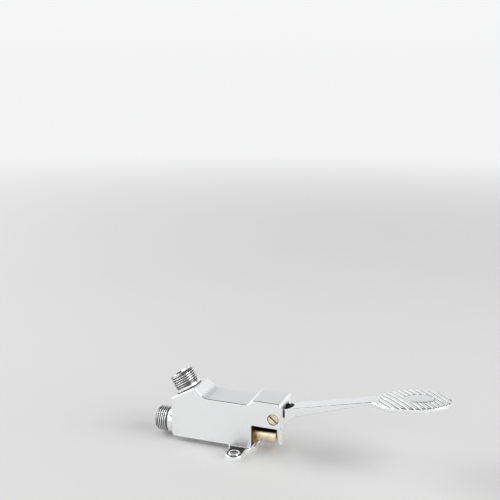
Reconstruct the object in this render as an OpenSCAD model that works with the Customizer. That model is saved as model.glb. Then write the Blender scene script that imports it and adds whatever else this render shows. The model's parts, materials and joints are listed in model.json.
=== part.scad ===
// Foot pedal tap valve: a self-closing floor valve for a washbasin tap.
// Pressing the pedal swings a bell-crank lever, whose short arm pushes a spring-loaded
// plunger and lifts the rubber disc off its seat. Letting go shuts the valve.
// Origin: midway between the two floor screws, on the floor. +X points to the pedal,
// +Z points up, and the pivot screw's head is on the -Y side. Millimetres.

/* [Body casting] */
// Width of the casting
body_w = 27; // [26:0.5:34]
// Distance from the floor screws back to the rear face
body_rear = 60; // [58:0.5:72]
// Distance from the pivot forward to the front of the hood
hood_reach = 6.7; // [6:0.1:9]
// Height of the rear face's top edge
rear_h = 37; // [35:0.5:44]
// Distance from the floor screws back to the peak behind the outlet
peak_back = 39.2; // [36:0.2:42]
// Angle of the sloping outlet face to the floor
outlet_tilt = 30; // [20:1:35]
// Angle of the slope from the peak down to the waist
peak_slope = 42; // [38:1:52]
// Depth of the waist below the hood's flat top
waist_drop = 4.4; // [3:0.1:6]
// Distance from the floor screws forward to the foot of the hood's ramp
ramp_x = 6.9; // [0:0.1:9]
// Distance from the floor screws forward to the window's wall
window_x = 10; // [8:0.5:12]
// Depth of the cheeks' lower edge below the pivot
cheek_drop = 7.9; // [6.5:0.1:9]
// Thickness of the hood's roof over the lever
roof_t = 5.4; // [3:0.1:6]
// Radius of the hollow between the peak and the waist
waist_r = 9; // [4:0.5:12]
// Radius on the casting's outer corners
corner_r = 1.2; // [0.5:0.1:2]
// Radius on the hood's front top corner
hood_r = 3.5; // [1:0.1:4.5]
// Radius on the casting's lower rear corner
heel_r = 3; // [1:0.5:4]

/* [Foot] */
// Thickness of the foot plate, which also lifts the casting off the floor
foot_t = 4; // [3:0.25:5]
// Distance between the two floor screws
screw_spacing = 50; // [46:1:64]
// Diameter of the floor screw holes
screw_d = 6.5; // [4:0.25:8]
// Radius of the rounded ear round each floor screw
ear_r = 7; // [6:0.25:9]
// Distance from each floor screw in to where its ear flares out
ear_neck = 7.5; // [4:0.5:9]
// Radius of the hollow where the ears flare out
flare_r = 8; // [4:0.5:10]
// Length of the foot plate under the casting
plate_l = 24; // [20:0.5:28]
// Width of the foot plate's front and rear edges
plate_w = 17; // [12:0.5:24]
// Radius on the foot plate's corners
plate_r = 2.5; // [1:0.25:4]
// Diameter of the raised ring round each floor screw hole
ring_d = 9; // [8.5:0.25:11]
// Height of the raised ring
ring_h = 0.8; // [0.4:0.1:1.5]

/* [Water way] */
// Height of the valve's axis above the floor
axis_h = 12.5; // [12:0.25:14]
// Outer diameter of the connection threads (G1/2)
thread_d = 20.955; // [20:0.005:22]
// Pitch of the connection threads
thread_pitch = 1.814; // [1.4:0.001:2.2]
// Depth of the connection threads
thread_deep = 1.162; // [0.8:0.001:1.3]
// Turns on the inlet thread
inlet_turns = 6; // [4:1:10]
// Turns on the outlet thread
outlet_turns = 6; // [4:1:10]
// Diameter of the nipples' collars
collar_d = 23; // [22:0.25:25]
// Thickness of the inlet nipple's collar
inlet_collar_t = 4.4; // [3:0.1:7]
// Thickness of the outlet nipple's collar
outlet_collar_t = 2; // [1.5:0.1:4]
// Diameter of the nipples' screwed-in ends
spigot_d = 18; // [17:0.25:18.5]
// Length of the inlet nipple's screwed-in end
inlet_spigot_l = 10; // [7:0.5:12]
// Length of the outlet nipple's screwed-in end
outlet_spigot_l = 8; // [6:0.5:10]
// Bore of the nipples
nipple_bore_d = 10; // [8:0.25:10.5]
// Thickness of the fibre washers under the collars, the gland and the seat
gasket_t = 1; // [0.5:0.1:1.5]
// Distance of the fibre washers' rims inside the collars' rims
gasket_inset = 0.5; // [0.3:0.1:0.7]
// Diameter of the passages to the outlet
passage_d = 10; // [8:0.25:11]
// Wall between the chamber behind the seat and the level passage above it
web_t = 2.5; // [2:0.1:4]
// Distance from the floor screws back to the drop between the level passage and the chamber
drop_back = 20; // [18:0.5:20.5]

/* [Seat and plunger] */
// Distance from the floor screws back to the seat's lip
lip_back = 35.5; // [35:0.25:38]
// Bore of the seat
seat_bore_d = 10; // [9:0.25:10.5]
// Outer diameter of the seat's body
seat_d = 14; // [13.5:0.25:14.5]
// Width of the seat's flange past its body
seat_flange_w = 1; // [0.6:0.1:1.5]
// Thickness of the seat's flange
seat_flange_t = 1.5; // [1:0.1:2]
// Length of the seat's body in front of its flange
seat_l = 5.5; // [4:0.25:6.5]
// Height of the seat's lip
lip_t = 1; // [0.6:0.1:1.5]
// Width of the seat's lip
lip_w = 0.8; // [0.5:0.1:1.2]
// Diameter of the rubber disc
disc_d = 13.2; // [12.8:0.1:13.6]
// Thickness of the rubber disc
disc_t = 3.5; // [2.5:0.1:4]
// Floor thickness of the cup behind the disc
cup_t = 1.5; // [1:0.1:2]
// Depth of the cup's rim round the disc
cup_rim_l = 2; // [1:0.1:2.4]
// Thickness of the cup's rim
cup_rim_t = 0.7; // [0.5:0.05:0.9]
// Diameter of the plunger where it shows in the window
plunger_d = 12.5; // [10:0.25:13.5]
// Diameter of the plunger's thin stem through the seat
stem_d = 5; // [4.5:0.1:6]
// Diameter of the plunger's threaded tail
tail_d = 4; // [3:0.1:4.2]
// Radius of the plunger's domed tip
dome_r = 14; // [9:0.5:24]
// Width across the flats of the disc nut
disc_nut_af = 7; // [6.5:0.1:7.5]
// Thickness of the disc nut
disc_nut_t = 3.2; // [2.4:0.1:4]
// Thickness of the washer under the disc nut
lock_t = 0.8; // [0.5:0.1:1.2]

/* [Gland and spring] */
// Diameter of the gland nut's thread
gland_d = 18; // [17:0.25:19]
// Length of the gland nut's thread
gland_l = 17; // [14:0.5:18]
// Depth of the gland nut's face below the window's wall
gland_sink = 0.5; // [0:0.1:1.5]
// Diameter of the two spanner holes in the gland nut's face
key_d = 1.6; // [1:0.1:1.8]
// Depth of the spanner holes
key_deep = 2.5; // [1:0.1:3]
// Thickness of the rubber rings on the plunger
ring_cord = 1.1; // [0.9:0.05:1.4]
// Diameter of the return spring, to the middle of its wire
spring_d = 10.8; // [10.5:0.1:11]
// Diameter of the return spring's wire
wire_d = 1.2; // [0.8:0.05:1.4]
// Turns of the return spring
spring_turns = 6; // [4:1:8]

/* [Pedal lever] */
// Distance from the floor screws forward to the pivot
pivot_x = 28.3; // [27:0.1:29]
// Height of the pivot
pivot_h = 31.6; // [31:0.1:33]
// Radius of the lever's hub
hub_r = 7.6; // [6:0.1:8]
// Width of the lever and its hub
lever_w = 14; // [12:0.25:15]
// Rise of the arm from the hub to the pad
arm_tilt = 13.2; // [9:0.1:14]
// Height of the arm's upper face over the pivot
arm_lift = 5.8; // [5:0.1:6.2]
// Thickness of the arm at its root
arm_root_t = 7.2; // [6:0.1:8]
// Distance from the pivot forward to the arm's root
arm_root_l = 16.2; // [14:0.1:22]
// Thickness of the arm at the pad
arm_tip_t = 2.6; // [2:0.1:3.5]
// Distance from the pivot forward to the pad's neck
arm_l = 74.7; // [66:0.1:90]
// Radius of the dished hollow in the arm's upper face, where it leaves the hood
dish_r = 7.2; // [6:0.1:8]
// Depth of the dished hollow
dish_deep = 2; // [1:0.1:2.5]
// Height of the short arm's lower end
foot_arm_h = 7.7; // [6:0.1:9]
// Thickness of the short arm at its lower end
foot_arm_t = 2.6; // [2:0.1:3.5]
// Thickness of the short arm under the hub
foot_arm_top_t = 6; // [5:0.1:7]
// Distance from the pivot forward to the short arm's front face
foot_arm_x = 6.7; // [6:0.1:7.5]
// Lean of the short arm's front face
foot_arm_lean = 5; // [0:0.5:8]
// Radius of the nose that pushes the plunger
nose_r = 2; // [1.5:0.1:2.5]
// Distance from the pivot forward to the nose's centre
nose_x = 3.45; // [3:0.05:4]

/* [Pedal pad] */
// Length of the pad behind its widest place
pad_back_l = 30; // [25:1:40]
// Length of the pad in front of its widest place
pad_front_l = 28; // [22:1:40]
// Width of the pad
pad_w = 40; // [30:1:60]
// Thickness of the pad
pad_t = 4; // [3.4:0.1:6]
// Slope of the pad's upper face at its neck
pad_slope = 11; // [6:0.5:14]
// Radius of the pad's lengthwise crown
pad_crown_r = 385; // [250:5:900]
// Roundness of the join between the arm and the pad
neck_blend = 6; // [2:0.5:7]
// Distance between the tread's ridges, across them
tread_pitch = 4; // [2.5:0.1:5]
// Width of the tread's grooves
tread_gap = 1.3; // [0.8:0.1:1.8]
// Depth of the tread's grooves
tread_deep = 0.9; // [0.4:0.1:1.2]
// Angle of the tread's ridges to the lever
tread_angle = 50; // [30:1:60]
// Distance from the pad's neck to where the tread starts
tread_start = 7; // [4:0.5:14]
// Length of the smooth oval in the tread
plaque_l = 22; // [12:1:30]
// Width of the smooth oval in the tread
plaque_w = 15; // [8:1:20]
// Distance of the smooth oval's middle in front of the pad's widest place
plaque_x = 4.5; // [0:0.5:6]
// Width of the groove round the smooth oval
plaque_gap = 0.9; // [0.6:0.1:1.4]

/* [Pivot screw] */
// Diameter of the pivot screw's head
head_d = 8.2; // [7.5:0.1:9]
// Thickness of the pivot screw's head
head_t = 3; // [2:0.1:3.4]
// Depth of the head below the cheek's face
head_sink = 0.3; // [0:0.05:0.5]
// Diameter of the pivot screw's shoulder
pivot_d = 6; // [5:0.1:6.4]
// Diameter of the pivot screw's threaded end
pivot_thread_d = 5; // [3.5:0.1:5]
// Width of the screwdriver slot
slot_w = 1.1; // [0.8:0.1:1.6]
// Depth of the screwdriver slot
slot_deep = 1.3; // [0.8:0.1:1.8]
// Angle of the screwdriver slot below level
slot_turn = 39; // [0:1:90]
// Wall of the bush in the lever's hub
bush_wall = 1; // [0.6:0.1:1.4]
// Thickness of the nylon washers beside the hub
washer_t = 0.5; // [0.3:0.05:0.8]
// Diameter of the nylon washers beside the hub
washer_d = 13; // [10:0.5:14]

/* [Clearances] */
// Gap round screwed-in pieces
screw_gap = 0.05; // [0.02:0.01:0.1]
// Gap round pieces that turn or slide
run_gap = 0.03; // [0.02:0.01:0.08]
// Gap round pieces that are pushed home
push_gap = 0.01; // [0.01:0.01:0.03]
// Gap at the ends of pieces that turn
side_gap = 0.05; // [0.03:0.01:0.15]
// Gap between the lever's hub and the hood's roof
hub_gap = 0.8; // [0.5:0.1:2]
// Gap between the lever's hub and the back of its slot
slot_gap = 2.1; // [1:0.1:4]
// Gap round the return spring in the inlet nipple
spring_gap = 0.7; // [0.5:0.05:1]
// Gap round the seat's flange in the chamber
chamber_gap = 0.5; // [0.3:0.05:0.7]
// Gap round the pivot screw's head
head_gap = 0.5; // [0.2:0.05:0.8]
// Gap between the lever's nose and the plunger at rest
nose_gap = 0.25; // [0.2:0.05:0.4]
// Gap between the disc and the seat's lip
disc_gap = 0.02; // [0:0.01:0.1]
// Gap past the inner end of a screwed-in piece
end_gap = 0.5; // [0.3:0.1:1]
// Height of the casting's belly above the floor
belly_gap = 1; // [0.5:0.1:1.5]

/* [Hidden] */
$fn = 96;
CHROME = [0.88, 0.89, 0.9];
BRASS = [0.86, 0.68, 0.36];
RUBBER = [0.1, 0.1, 0.11];
FIBRE = [0.2, 0.18, 0.17];
NYLON = [0.93, 0.92, 0.88];
STEEL = [0.62, 0.63, 0.65];
CUT = 1;

roof_h = pivot_h + hub_r + hub_gap;
hood_h = roof_h + roof_t;
waist_h = hood_h - waist_drop;
hood_front = pivot_x + hood_reach;
cheek_h = pivot_h - cheek_drop;
slot_x = pivot_x - hub_r - slot_gap;
peak_h = rear_h + (body_rear - peak_back) * tan(outlet_tilt);
waist_x = -peak_back + (peak_h - waist_h) / tan(peak_slope);
ramp_top_x = ramp_x + hood_h - waist_h;
belly_r = axis_h - belly_gap;
slot_half = lever_w / 2 + washer_t + 2 * side_gap;
hole_y = screw_spacing / 2;

thread_r = thread_d / 2;
collar_x = -body_rear - gasket_t;
ledge_x = collar_x - inlet_collar_t / 2;
outlet_x = -(body_rear + peak_back) / 2;
outlet_h = (rear_h + peak_h) / 2;
seat_flange_d = seat_d + 2 * seat_flange_w;
chamber_d = seat_flange_d + 2 * chamber_gap;
passage_h = axis_h + (chamber_d + passage_d) / 2 + web_t;
outlet_deep = (outlet_h - passage_h) / cos(outlet_tilt);
level_x = outlet_x + outlet_deep * sin(outlet_tilt);
spring_bore_d = spring_d + wire_d + 2 * spring_gap;

lip_x = -lip_back;
flange_x = lip_x + lip_t;
shoulder_x = flange_x + seat_flange_t + gasket_t;
seat_end_x = shoulder_x + seat_l - gasket_t;
step_x = seat_end_x + end_gap;
gland_face_x = window_x - gland_sink;
gland_x = gland_face_x - gland_l;
gland_seat_x = gland_x - gasket_t;
disc_x = lip_x - disc_gap;
cup_x = disc_x - disc_t;
cup_back_x = cup_x - cup_t;
lock_x = cup_back_x - lock_t;
nut_x = lock_x - disc_nut_t;
tail_x = nut_x - tail_d / 5;
ring_mid_r = plunger_d / 2 + run_gap + ring_cord / 2;
groove_r = ring_mid_r + ring_cord / 2 + run_gap;
key_r = (plunger_d + gland_d) / 4;
ring_1_x = gland_x + gland_l * 0.25;
ring_2_x = gland_x + gland_l * 0.6;
tip_x = pivot_x + nose_x - nose_r - nose_gap;
dome_x = tip_x - dome_r;
head_y = -body_w / 2 + head_sink;
head_seat_y = head_y + head_t;

arm_k = tan(arm_tilt);
arm_root_x = pivot_x + arm_root_l;
neck_x = pivot_x + arm_l;
neck_h = pivot_h + arm_lift + arm_k * (neck_x - pivot_x);
pad_mid_x = neck_x + neck_blend / 3 + pad_back_l;
pad_end_x = pad_mid_x + pad_front_l;
dish_h = pivot_h + arm_lift + arm_k * (hood_front - pivot_x);
dish_ball_r = (dish_r * dish_r + dish_deep * dish_deep) / (2 * dish_deep);
gusset_h = pivot_h + arm_lift + arm_k * (arm_root_x - pivot_x) - arm_root_t;
front_x = pivot_x + foot_arm_x;
front_h = gusset_h - (arm_root_x - front_x);
front_low_x = front_x - tan(foot_arm_lean) * (front_h - foot_arm_h);

function unit(v) = v / norm(v);

// A corner q between p and s, as an arc of radius r
function corner(p, q, s, r, n = 8) =
    let (a = unit(p - q), b = unit(s - q), half = acos(a * b) / 2)
    let (c = q + unit(a + b) * r / sin(half))
    let (t = q + a * r / tan(half) - c, u = q + b * r / tan(half) - c)
    let (t0 = atan2(t[1], t[0]), turn = (atan2(u[1], u[0]) - t0 + 540) % 360 - 180)
    [for (i = [0 : n]) c + r * [cos(t0 + turn * i / n), sin(t0 + turn * i / n)]];

// An outline whose corners [x, y, radius] are rounded
function rounded(pts) =
    let (n = len(pts), xy = [for (p = pts) [p[0], p[1]]])
    [for (i = [0 : n - 1])
        each pts[i][2] > 0
            ? corner(xy[(i + n - 1) % n], xy[i], xy[(i + 1) % n], pts[i][2])
            : [xy[i]]];

// A rod along X on the valve's axis
module rod(x0, x1, r) {
    translate([x0, 0, axis_h]) rotate([0, 90, 0]) cylinder(h = x1 - x0, r = r);
}

// A ring along X on the valve's axis
module collar(x0, x1, r_in, r_out) {
    difference() {
        rod(x0, x1, r_out);
        rod(x0 - CUT, x1 + CUT, r_in);
    }
}

// A hexagon along X on the valve's axis, one flat down
module hex_rod(x0, x1, af) {
    translate([x0, 0, axis_h]) rotate([0, 90, 0])
        cylinder(h = x1 - x0, d = af / cos(30), $fn = 6);
}

// A round piece along Y on the pivot
module pin(y0, y1, r) {
    translate([pivot_x, y0, pivot_h]) rotate([-90, 0, 0]) cylinder(h = y1 - y0, r = r);
}

// A shape in the X-Z plane, as wide as w across the lever
module slab(w) {
    rotate([90, 0, 0]) linear_extrude(w, center = true) children();
}

// Turns pieces drawn along +Z onto the outlet's axis
module at_outlet() {
    translate([outlet_x, 0, outlet_h]) rotate([0, -outlet_tilt, 0]) children();
}

// A threaded nipple from its spigot's end up: spigot, collar, thread
module nipple(spigot_l, collar_t, turns) {
    root_r = thread_r - thread_deep;
    flank = thread_pitch * 0.3;
    crest = thread_pitch * 0.25;
    top = gasket_t + collar_t;
    neck = thread_pitch / 2;
    tooth = [for (i = [0 : turns - 1])
        let (z = top + neck + i * thread_pitch)
        each [[root_r, z], [thread_r, z + flank], [thread_r, z + flank + crest],
              [root_r, z + 2 * flank + crest]]];
    rotate_extrude()
        polygon(concat(
            [[0, -spigot_l], [spigot_d / 2, -spigot_l], [spigot_d / 2, gasket_t],
             [collar_d / 2, gasket_t], [collar_d / 2, top], [root_r, top]],
            tooth,
            [[root_r, top + neck + turns * thread_pitch], [0, top + neck + turns * thread_pitch]]));
}

// The foot plate's outline: two ears that flare out to the plate under the casting
module foot_outline() {
    half = plate_l / 2;
    edge = plate_w / 2;
    neck = hole_y - ear_neck;
    polygon(rounded([
        [ear_r, -hole_y, 0], [ear_r, -neck, flare_r], [half, -edge, plate_r],
        [half, edge, plate_r], [ear_r, neck, flare_r], [ear_r, hole_y, 0],
        [-ear_r, hole_y, 0], [-ear_r, neck, flare_r], [-half, edge, plate_r],
        [-half, -edge, plate_r], [-ear_r, -neck, flare_r], [-ear_r, -hole_y, 0]
    ]));
    for (y = [-hole_y, hole_y]) translate([0, y]) circle(ear_r);
}

module foot_plate() {
    linear_extrude(foot_t) foot_outline();
    for (y = [-hole_y, hole_y])
        translate([0, y, 0]) cylinder(h = foot_t + ring_h, d = ring_d);
}

// Side outline of the casting
function body_outline() = rounded([
    [-body_rear, foot_t, heel_r], [-body_rear, rear_h, corner_r],
    [-peak_back, peak_h, corner_r], [waist_x, waist_h, waist_r],
    [ramp_x, waist_h, 2 * corner_r], [ramp_top_x, hood_h, corner_r],
    [hood_front, hood_h, hood_r], [hood_front, cheek_h, corner_r],
    [window_x, cheek_h, corner_r], [window_x, foot_t, 0]
]);

module water_way() {
    rod(-body_rear - CUT, -body_rear + inlet_spigot_l + end_gap, spigot_d / 2 + screw_gap);
    rod(-body_rear, shoulder_x, chamber_d / 2);
    rod(shoulder_x - CUT, step_x, seat_d / 2 + screw_gap);
    rod(step_x - CUT, gland_seat_x + CUT, plunger_d / 2 + end_gap);
    rod(gland_seat_x, window_x + CUT, gland_d / 2 + screw_gap);
    translate([-drop_back, 0, axis_h]) cylinder(h = passage_h - axis_h, d = passage_d);
    for (x = [level_x, -drop_back]) translate([x, 0, passage_h]) sphere(d = passage_d);
    translate([level_x, 0, passage_h]) rotate([0, 90, 0])
        cylinder(h = -drop_back - level_x, d = passage_d);
    at_outlet() translate([0, 0, -outlet_deep]) cylinder(h = outlet_deep, d = passage_d);
    at_outlet() translate([0, 0, -outlet_spigot_l - end_gap])
        cylinder(h = outlet_spigot_l + end_gap + CUT, d = spigot_d + 2 * screw_gap);
}

module valve_body() {
    color(CHROME) difference() {
        union() {
            slab(body_w) polygon(body_outline());
            rod(-body_rear, window_x, belly_r);
            foot_plate();
        }
        water_way();
        for (y = [-hole_y, hole_y])
            translate([0, y, -CUT]) cylinder(h = foot_t + ring_h + 2 * CUT, d = screw_d);
        translate([slot_x, -slot_half, cheek_h - CUT])
            cube([hood_front - slot_x + CUT, 2 * slot_half, roof_h - cheek_h + CUT]);
        pin(-body_w / 2 - CUT, head_seat_y, head_d / 2 + head_gap);
        pin(head_seat_y - CUT, 0, pivot_d / 2 + screw_gap);
        pin(0, body_w / 2 + CUT, pivot_thread_d / 2 + screw_gap);
    }
}

module inlet_nipple() {
    color(CHROME) difference() {
        translate([-body_rear, 0, axis_h]) rotate([0, -90, 0])
            nipple(inlet_spigot_l, inlet_collar_t, inlet_turns);
        rod(-2 * body_rear, 0, nipple_bore_d / 2);
        rod(ledge_x, 0, spring_bore_d / 2);
    }
}

module inlet_gasket() {
    color(FIBRE) collar(collar_x, -body_rear, spigot_d / 2 + screw_gap, collar_d / 2 - gasket_inset);
}

module outlet_nipple() {
    color(CHROME) at_outlet() difference() {
        nipple(outlet_spigot_l, outlet_collar_t, outlet_turns);
        translate([0, 0, -body_rear]) cylinder(h = 2 * body_rear, d = nipple_bore_d);
    }
}

module outlet_gasket() {
    color(FIBRE) at_outlet() difference() {
        cylinder(h = gasket_t, d = collar_d - 2 * gasket_inset);
        translate([0, 0, -CUT]) cylinder(h = gasket_t + 2 * CUT, d = spigot_d + 2 * screw_gap);
    }
}

module valve_seat() {
    color(BRASS) difference() {
        union() {
            rod(lip_x, flange_x + CUT, seat_bore_d / 2 + lip_w);
            rod(flange_x, flange_x + seat_flange_t, seat_flange_d / 2);
            rod(flange_x, seat_end_x, seat_d / 2);
        }
        rod(lip_x - CUT, seat_end_x + CUT, seat_bore_d / 2);
    }
}

module seat_gasket() {
    color(FIBRE)
        collar(shoulder_x - gasket_t, shoulder_x, seat_d / 2 + screw_gap, seat_flange_d / 2);
}

module gland_nut() {
    color(BRASS) difference() {
        rod(gland_x, gland_face_x, gland_d / 2);
        rod(gland_x - CUT, gland_face_x + CUT, plunger_d / 2 + run_gap);
        for (x = [ring_1_x, ring_2_x])
            rod(x - ring_cord * 0.6, x + ring_cord * 0.6, groove_r);
        for (y = [-key_r, key_r])
            translate([gland_face_x - key_deep, y, axis_h]) rotate([0, 90, 0])
                cylinder(h = key_deep + CUT, d = key_d);
    }
}

module gland_gasket() {
    color(FIBRE) collar(gland_seat_x, gland_x, plunger_d / 2 + end_gap, gland_d / 2);
}

module stem_ring(x) {
    translate([x, 0, axis_h]) rotate([0, 90, 0])
        rotate_extrude() translate([ring_mid_r, 0]) circle(d = ring_cord);
}

module stem_ring_inner() { color(RUBBER) stem_ring(ring_1_x); }

module stem_ring_outer() { color(RUBBER) stem_ring(ring_2_x); }

module pivot_screw() {
    color(BRASS) difference() {
        union() {
            pin(head_y, head_seat_y, head_d / 2);
            pin(head_y, slot_half, pivot_d / 2);
            pin(head_y, body_w / 2 - head_sink, pivot_thread_d / 2);
        }
        translate([pivot_x, head_y, pivot_h]) rotate([0, slot_turn, 0])
            cube([2 * head_d, 2 * slot_deep, slot_w], center = true);
    }
}

module washer(side) {
    y = side * (lever_w / 2 + side_gap + washer_t / 2);
    difference() {
        pin(y - washer_t / 2, y + washer_t / 2, washer_d / 2);
        pin(y - washer_t, y + washer_t, pivot_d / 2 + screw_gap);
    }
}

module washer_near() { color(NYLON) washer(-1); }

module washer_far() { color(NYLON) washer(1); }

// Upper face of the pad, as a height at x
function pad_top(x) =
    neck_h + tan(pad_slope) * (x - neck_x) - (x - neck_x) * (x - neck_x) / (2 * pad_crown_r);

function pad_low(x) =
    pad_top(x) - min(pad_t, arm_tip_t + (pad_t - arm_tip_t) * (x - neck_x) / (pad_back_l / 2));

// Half the pad's width at x: the arm's width runs smoothly into the oval
function pad_half(x) =
    let (u = (x - pad_mid_x) / pad_back_l, oval = pad_w / 2 * sqrt(max(0, 1 - u * u)))
    let (arm = lever_w / 2, over = (oval - arm) / neck_blend)
    arm + (over > 1 ? oval - arm : over > -1 ? neck_blend * pow(over + 1, 2) / 4 : 0);

module pad_outline() {
    steps = 24;
    rise = [for (i = [0 : steps])
        let (x = neck_x + (pad_mid_x - neck_x) * i / steps) [x, pad_half(x)]];
    tip = [for (i = [1 : steps - 1])
        [pad_mid_x + pad_front_l * sin(180 * i / steps), pad_w / 2 * cos(180 * i / steps)]];
    fall = [for (i = [steps : -1 : 0]) [rise[i][0], -rise[i][1]]];
    polygon(concat(rise, tip, fall));
}

module pad_side() {
    steps = 10;
    xs = [for (i = [0 : steps]) neck_x + (pad_end_x + CUT - neck_x) * i / steps];
    polygon(concat(
        [for (x = xs) [x, pad_top(x)]],
        [for (i = [steps : -1 : 0]) [xs[i], pad_low(xs[i])]]));
}

// Grooves between the tread's ridges, to an even depth under the pad's crowned face
module tread_cuts() {
    reach = pad_back_l + pad_front_l + pad_w;
    count = ceil(reach / 2 / tread_pitch);
    steps = 10;
    xs = [for (i = [0 : steps]) neck_x + (pad_end_x + CUT - neck_x) * i / steps];
    intersection() {
        slab(2 * pad_w) polygon(concat(
            [for (x = xs) [x, pad_top(x) + CUT]],
            [for (i = [steps : -1 : 0]) [xs[i], pad_top(xs[i]) - tread_deep]]));
        linear_extrude(4 * pivot_h) {
            difference() {
                translate([pad_mid_x, 0]) rotate(-tread_angle)
                    for (i = [-count : count])
                        translate([-reach, (i - 0.5) * tread_pitch - tread_gap / 2])
                            square([2 * reach, tread_gap]);
                plaque_outline(plaque_gap / 2);
                translate([neck_x - reach, -pad_w]) square([reach + tread_start, 2 * pad_w]);
            }
            difference() {
                plaque_outline(plaque_gap);
                plaque_outline(0);
            }
        }
    }
}

// The smooth oval in the tread, grown by a margin
module plaque_outline(grow) {
    steps = 36;
    translate([pad_mid_x + plaque_x, 0]) polygon([for (i = [0 : steps - 1])
        [(plaque_l / 2 + grow) * cos(360 * i / steps), (plaque_w / 2 + grow) * sin(360 * i / steps)]]);
}

// Side outline of the arm and the short arm below the hub
module arm_side() {
    polygon(rounded([
        [pivot_x, pivot_h + arm_lift, 0], [neck_x, neck_h, 0],
        [neck_x, neck_h - arm_tip_t, 0], [arm_root_x, gusset_h, 6],
        [front_x, front_h, 3], [front_low_x, foot_arm_h, 0.6],
        [front_low_x - foot_arm_t, foot_arm_h, 0.6],
        [front_x - foot_arm_top_t, pivot_h - hub_r - 1, 2], [pivot_x - 1, pivot_h, 0]
    ]));
}

module arm_dish() {
    translate([hood_front, 0, dish_h]) rotate([0, -arm_tilt, 0])
        translate([0, 0, dish_ball_r - dish_deep]) sphere(r = dish_ball_r);
}

module pedal_lever() {
    color(CHROME) difference() {
        union() {
            difference() {
                slab(lever_w) arm_side();
                arm_dish();
            }
            pin(-lever_w / 2, lever_w / 2, hub_r);
            translate([pivot_x + nose_x, 0, axis_h]) rotate([90, 0, 0])
                cylinder(h = lever_w - 2 * nose_r, r = nose_r, center = true);
            intersection() {
                linear_extrude(4 * pivot_h) pad_outline();
                slab(2 * pad_w) pad_side();
            }
        }
        tread_cuts();
        pin(-lever_w, lever_w, pivot_d / 2 + run_gap + bush_wall + push_gap);
    }
}

module pivot_bush() {
    color(BRASS) difference() {
        pin(-lever_w / 2, lever_w / 2, pivot_d / 2 + run_gap + bush_wall);
        pin(-lever_w, lever_w, pivot_d / 2 + run_gap);
    }
}

module plunger() {
    color(BRASS) {
        intersection() {
            rod(gland_seat_x, tip_x, plunger_d / 2);
            union() {
                translate([dome_x, 0, axis_h]) sphere(r = dome_r);
                rod(gland_seat_x - CUT, dome_x, plunger_d);
            }
        }
        rod(disc_x, gland_seat_x + CUT, stem_d / 2);
        rod(tail_x, disc_x + CUT, tail_d / 2);
    }
}

module valve_disc() { color(RUBBER) collar(cup_x, disc_x, tail_d / 2 + push_gap, disc_d / 2); }

module disc_cup() {
    color(BRASS) difference() {
        rod(cup_back_x, cup_x + cup_rim_l, disc_d / 2 + screw_gap + cup_rim_t);
        rod(cup_x, cup_x + cup_rim_l + CUT, disc_d / 2 + screw_gap);
        rod(cup_back_x - CUT, cup_x + CUT, tail_d / 2 + push_gap);
    }
}

module lock_washer() {
    color(STEEL) collar(lock_x, cup_back_x, tail_d / 2 + push_gap, disc_nut_af / 2);
}

module disc_nut() {
    color(BRASS) difference() {
        hex_rod(nut_x, lock_x, disc_nut_af);
        rod(nut_x - CUT, lock_x + CUT, tail_d / 2 + push_gap);
    }
}

// The return spring: one tube wound along X between the nipple's ledge and the cup
module return_spring() {
    sides = 6;
    per_turn = 8;
    n = spring_turns * per_turn;
    r = wire_d / 2;
    x0 = ledge_x + r + push_gap;
    lead = cup_back_x - ledge_x - wire_d - 2 * push_gap;
    mid = [for (i = [0 : n])
        let (a = 360 * i / per_turn) [x0 + lead * i / n, spring_d / 2 * cos(a), spring_d / 2 * sin(a)]];
    pts = [for (i = [0 : n], j = [0 : sides - 1])
        let (a = 360 * i / per_turn, b = 360 * j / sides)
        mid[i] + r * [sin(b), cos(b) * cos(a), cos(b) * sin(a)] + [0, 0, axis_h]];
    ends = [for (j = [1 : sides - 2]) each [
        [0, j, j + 1], [n * sides, n * sides + j + 1, n * sides + j]]];
    skin = [for (i = [0 : n - 1], j = [0 : sides - 1])
        let (a = i * sides + j, b = i * sides + (j + 1) % sides)
        each [[a, a + sides, b], [b, a + sides, b + sides]]];
    echo(spring_self_gap = lead / spring_turns - wire_d);
    color(STEEL) polyhedron(pts, concat(ends, skin));
}

valve_body();
inlet_nipple();
inlet_gasket();
outlet_nipple();
outlet_gasket();
valve_seat();
seat_gasket();
gland_nut();
gland_gasket();
stem_ring_inner();
stem_ring_outer();
pivot_screw();
washer_near();
washer_far();
pedal_lever();
pivot_bush();
plunger();
valve_disc();
disc_cup();
lock_washer();
disc_nut();
return_spring();
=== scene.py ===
import json
import math
import bmesh
import bpy
from mathutils import Matrix, Vector


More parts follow.
